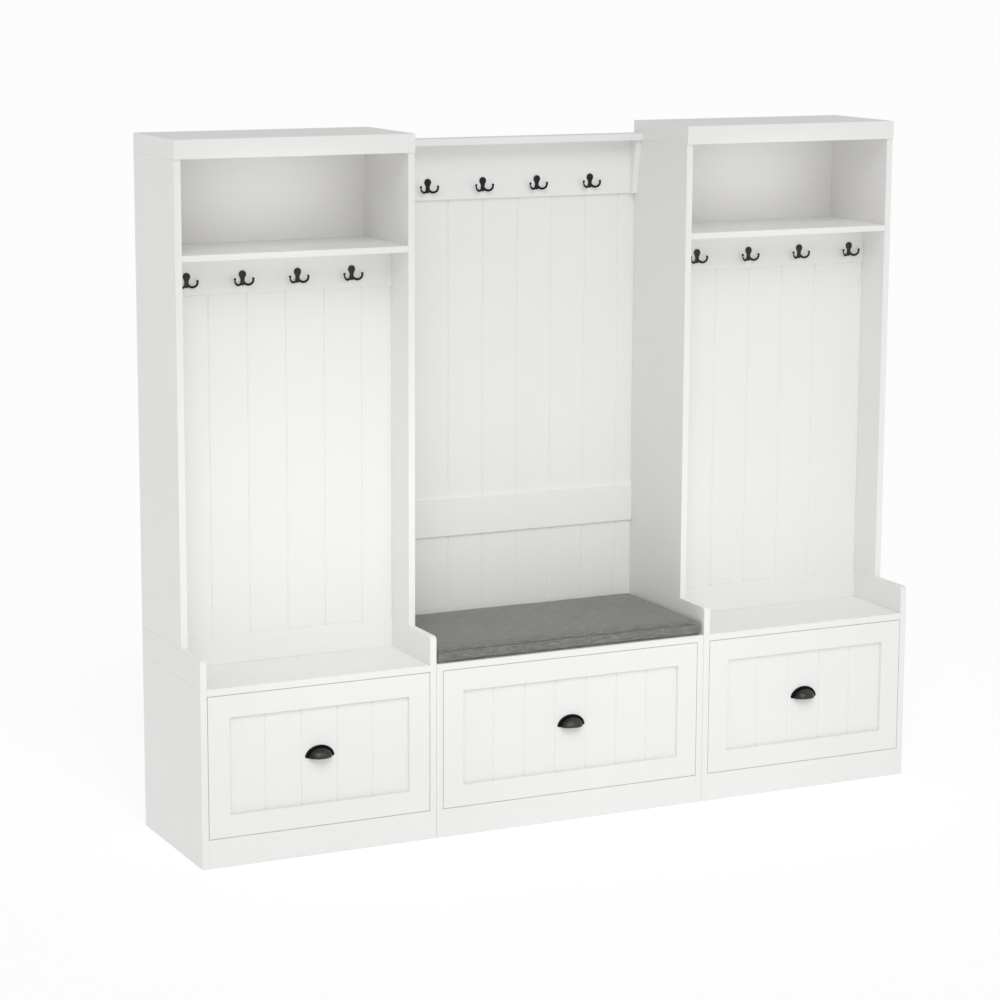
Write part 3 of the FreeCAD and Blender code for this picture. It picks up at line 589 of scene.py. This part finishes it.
def seam_loop(surface, low, high, height, count, corner):
    """Points on the cushion's skin all the way round, nearest a level ring at a height."""
    tree = BVHTree.FromBMesh(surface)
    inner_low = Vector((low.x + corner, low.y + corner, 0))
    inner_high = Vector((high.x - corner, high.y - corner, 0))
    width, length = inner_high.x - inner_low.x, inner_high.y - inner_low.y
    quarter = corner * math.pi / 2
    whole = 2 * (width + length) + 4 * quarter
    points = []
    for i in range(count):
        run = whole * i / count
        for side in range(4):
            straight = width if side % 2 == 0 else length
            if run < straight:
                share, bend = run / straight, 0.0
                break
            run -= straight
            if run < quarter:
                share, bend = 1.0, run / quarter
                break
            run -= quarter
        turn = -math.pi / 2 + side * math.pi / 2 + bend * math.pi / 2
        corners = [(inner_low.x, inner_low.y), (inner_high.x, inner_low.y),
                   (inner_high.x, inner_high.y), (inner_low.x, inner_high.y)]
        start, end = Vector(corners[side]), Vector(corners[(side + 1) % 4])
        base = start.lerp(end, share)
        out = Vector((math.cos(turn), math.sin(turn), 0))
        outside = Vector((base.x, base.y, 0)) + out * (corner + 6 * MM)
        outside.z = height
        points.append(tree.find_nearest(outside)[0])
    return points


def smoothed(points, rounds):
    """A closed row of points, evened so many times."""
    for _ in range(rounds):
        points = [(points[i - 1] + points[i] * 2 + points[(i + 1) % len(points)]) / 4
                  for i in range(len(points))]
    return points


def cord_mesh(name, points, radius):
    """A closed round cord along points, as a mesh."""
    line = bpy.data.curves.new(name, "CURVE")
    line.dimensions = "3D"
    line.bevel_depth = radius
    line.bevel_resolution = 2
    spline = line.splines.new("POLY")
    spline.points.add(len(points) - 1)
    for knot, point in zip(spline.points, points):
        knot.co = (*point, 1.0)
    spline.use_cyclic_u = True
    holder = bpy.data.objects.new(name, line)
    bpy.context.scene.collection.objects.link(holder)
    view = bpy.context.evaluated_depsgraph_get()
    mesh = bpy.data.meshes.new_from_object(holder.evaluated_get(view), depsgraph=view)
    bpy.data.objects.remove(holder)
    return mesh


def seat_cushion():
    """The padded seat cushion, filled as cloth and settled on the bench, with its two seams."""
    low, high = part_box("seat_cushion")
    inset = Vector((0, CUSHION_CLEAR, 0))
    form = rounded_slab(low + inset, high - inset, CUSHION_CORNER, CUSHION_EASE)
    mesh = bpy.data.meshes.new("cushion")
    form.to_mesh(mesh)
    form.free()
    piece = keep_mesh("cushion_pad", mesh, linen, "cushion", "cushion_linen", "seat_cushion")
    weld = piece.modifiers.new("even", "REMESH")
    weld.mode = "VOXEL"
    weld.voxel_size = 5.5 * MM
    apply_all(piece)
    swell(piece, SWELL_PRESSURE, SWELL_MOST)
    settle(piece, low, high)
    fine = piece.modifiers.new("fine", "SUBSURF")
    fine.levels = fine.render_levels = 1
    apply_all(piece)
    for face in piece.data.polygons:
        face.use_smooth = True
    nip(piece, low, high)
    surface = bmesh.new()
    surface.from_mesh(piece.data)
    for edge, height in (("upper", high.z - SEAM_INSET), ("lower", low.z + SEAM_INSET)):
        loop = smoothed(seam_loop(surface, low, high, height, SEAM_POINTS, CUSHION_CORNER), 12)
        name = f"cushion_{edge}_seam"
        # Each cord is a real seam in the darker linen copy, which is painted shade.
        keep_mesh(name, cord_mesh(name, loop, SEAM_RADIUS), seam_linen_painted_shade, "cushion", "cushion_linen")
    surface.free()


def nip(piece, low, high):
    """Draws the sides in along the upper seam."""
    middle = (low + high) / 2
    half = (high - low) / 2
    for v in piece.data.vertices:
        near = max(0.0, 1 - abs(v.co.z - high.z + SEAM_INSET) / NIP_BAND)
        out_x = half.x - abs(v.co.x - middle.x)
        out_y = half.y - abs(v.co.y - middle.y)
        if near > 0 and min(out_x, out_y) < NIP_REACH:
            pull = NIP_DEPTH * near
            if out_x < out_y:
                v.co.x -= math.copysign(pull, v.co.x - middle.x)
            else:
                v.co.y -= math.copysign(pull, v.co.y - middle.y)


def settle(piece, low, high):
    """Rests the underside on the seat, crowns the top and draws the sides in between corners."""
    middle = (low + high) / 2
    half = (high - low) / 2
    for v in piece.data.vertices:
        across = (v.co.x - middle.x) / half.x
        along = (v.co.y - middle.y) / half.y
        crown = max(0.0, 1 - across ** 4) * max(0.0, 1 - along ** 4)
        up = min(max((v.co.z - low.z) / (high.z - low.z), 0.0), 1.0)
        ripple = noise.noise(Vector((v.co.x * 9, v.co.y * 9, 2.0)))
        v.co.z += up * (CROWN * crown + RIPPLE * ripple)
        v.co.x -= math.copysign(PULL_IN * max(0.0, 1 - along ** 2) * abs(across) ** 8, across)
        v.co.y -= math.copysign(PULL_IN * max(0.0, 1 - across ** 2) * abs(along) ** 8, along)
        v.co.z = min(max(v.co.z, low.z + 0.2 * MM), high.z + 7 * MM)
        v.co.x = min(max(v.co.x, low.x - 1 * MM), high.x + 1 * MM)
        v.co.y = min(max(v.co.y, low.y - 1 * MM), high.y + 1 * MM)


# ---------------------------------------------------------------- studio

TOWER_MIDDLE = 0.712


def studio():
    """A pale floor, an even pale surround and soft lights, with fill for the deep recesses."""
    floor = bpy.data.meshes.new("floor")
    form = bmesh.new()
    bmesh.ops.create_grid(form, x_segments=1, y_segments=1, size=400)
    form.to_mesh(floor)
    form.free()
    ground = bpy.data.objects.new("floor", floor)
    bpy.context.scene.collection.objects.link(ground)
    pale, tree, shader = new_finish("pale_floor", Roughness=0.9)
    shader.inputs["Base Color"].default_value = (0.35, 0.35, 0.348, 1)
    shader.inputs["Specular IOR Level"].default_value = 0.0
    shader.inputs["Emission Color"].default_value = (1, 1, 1, 1)
    shader.inputs["Emission Strength"].default_value = 0.71
    floor.materials.append(pale)

    world = bpy.data.worlds.new("studio")
    bpy.context.scene.world = world
    world.use_nodes = True
    sky = world.node_tree.nodes["Background"]
    sky.inputs["Color"].default_value = (1.0, 1.0, 1.0, 1)
    rays = add_node(world.node_tree, "ShaderNodeLightPath")
    seen = spread(world.node_tree, rays.outputs["Is Camera Ray"], 0.0, 1.0, 0.58, 0.97)
    world.node_tree.links.new(seen, sky.inputs["Strength"])
    bpy.context.scene.cycles.diffuse_bounces = 8

    soft_sun("key", turn=20, height=45, width=35, power=0.82)
    soft_card("seat_fill", (-0.35, -1.30, 1.15), (0.0, 0.15, 0.58), (2.1, 0.6),
              spread=80, power=1.40)
    for side in (-1, 1):
        x = side * TOWER_MIDDLE
        soft_card("shelf_fill", (x - 0.3, -1.35, 1.62), (x + 0.02, 0.2, 1.64), (0.36, 0.08),
                  spread=14, power=0.052)
    bpy.context.scene.view_settings.view_transform = "Standard"


def soft_sun(name, turn, height, width, power):
    """Broad even light from the front, turned to the left and raised, in degrees."""
    lamp = bpy.data.lights.new(name, "SUN")
    lamp.energy = power
    lamp.angle = math.radians(width)
    holder = bpy.data.objects.new(name, lamp)
    bpy.context.scene.collection.objects.link(holder)
    side, up = math.radians(turn), math.radians(height)
    shine = Vector((math.sin(side) * math.cos(up), math.cos(side) * math.cos(up), -math.sin(up)))
    holder.rotation_euler = shine.to_track_quat("-Z", "Y").to_euler()


def soft_card(name, place, target, size, spread, power):
    """A soft card, unseen itself, that lifts the recesses it faces."""
    lamp = bpy.data.lights.new(name, "AREA")
    lamp.shape = "RECTANGLE"
    lamp.size, lamp.size_y = size
    lamp.spread = math.radians(spread)
    lamp.energy = power
    holder = bpy.data.objects.new(name, lamp)
    bpy.context.scene.collection.objects.link(holder)
    holder.location = place
    aim = Vector(target) - Vector(place)
    holder.rotation_euler = aim.to_track_quat("-Z", "Y").to_euler()
    holder.visible_camera = False


def camera():
    """A long lens from the front left, a little above the top of the towers."""
    place = Vector((-3.480, -6.903, 2.275))
    turn, tilt, lean = (math.radians(a) for a in (25.99, 10.65, -0.25))
    right = Vector((math.cos(turn), -math.sin(turn), 0))
    ahead = Vector((math.sin(turn) * math.cos(tilt), math.cos(turn) * math.cos(tilt),
                    -math.sin(tilt)))
    up = right.cross(ahead)
    axis_x = right * math.cos(lean) - up * math.sin(lean)
    axis_y = right * math.sin(lean) + up * math.cos(lean)
    stand = Matrix((axis_x, axis_y, -ahead)).transposed().to_4x4()
    stand.translation = place
    data = bpy.data.cameras.new("camera")
    data.sensor_width = 36
    data.lens = 107.03
    data.clip_end = 400
    holder = bpy.data.objects.new("camera", data)
    bpy.context.scene.collection.objects.link(holder)
    holder.matrix_world = stand
    bpy.context.scene.camera = holder


camera()
cup_pulls()
coat_hooks()
seat_cushion()
studio()
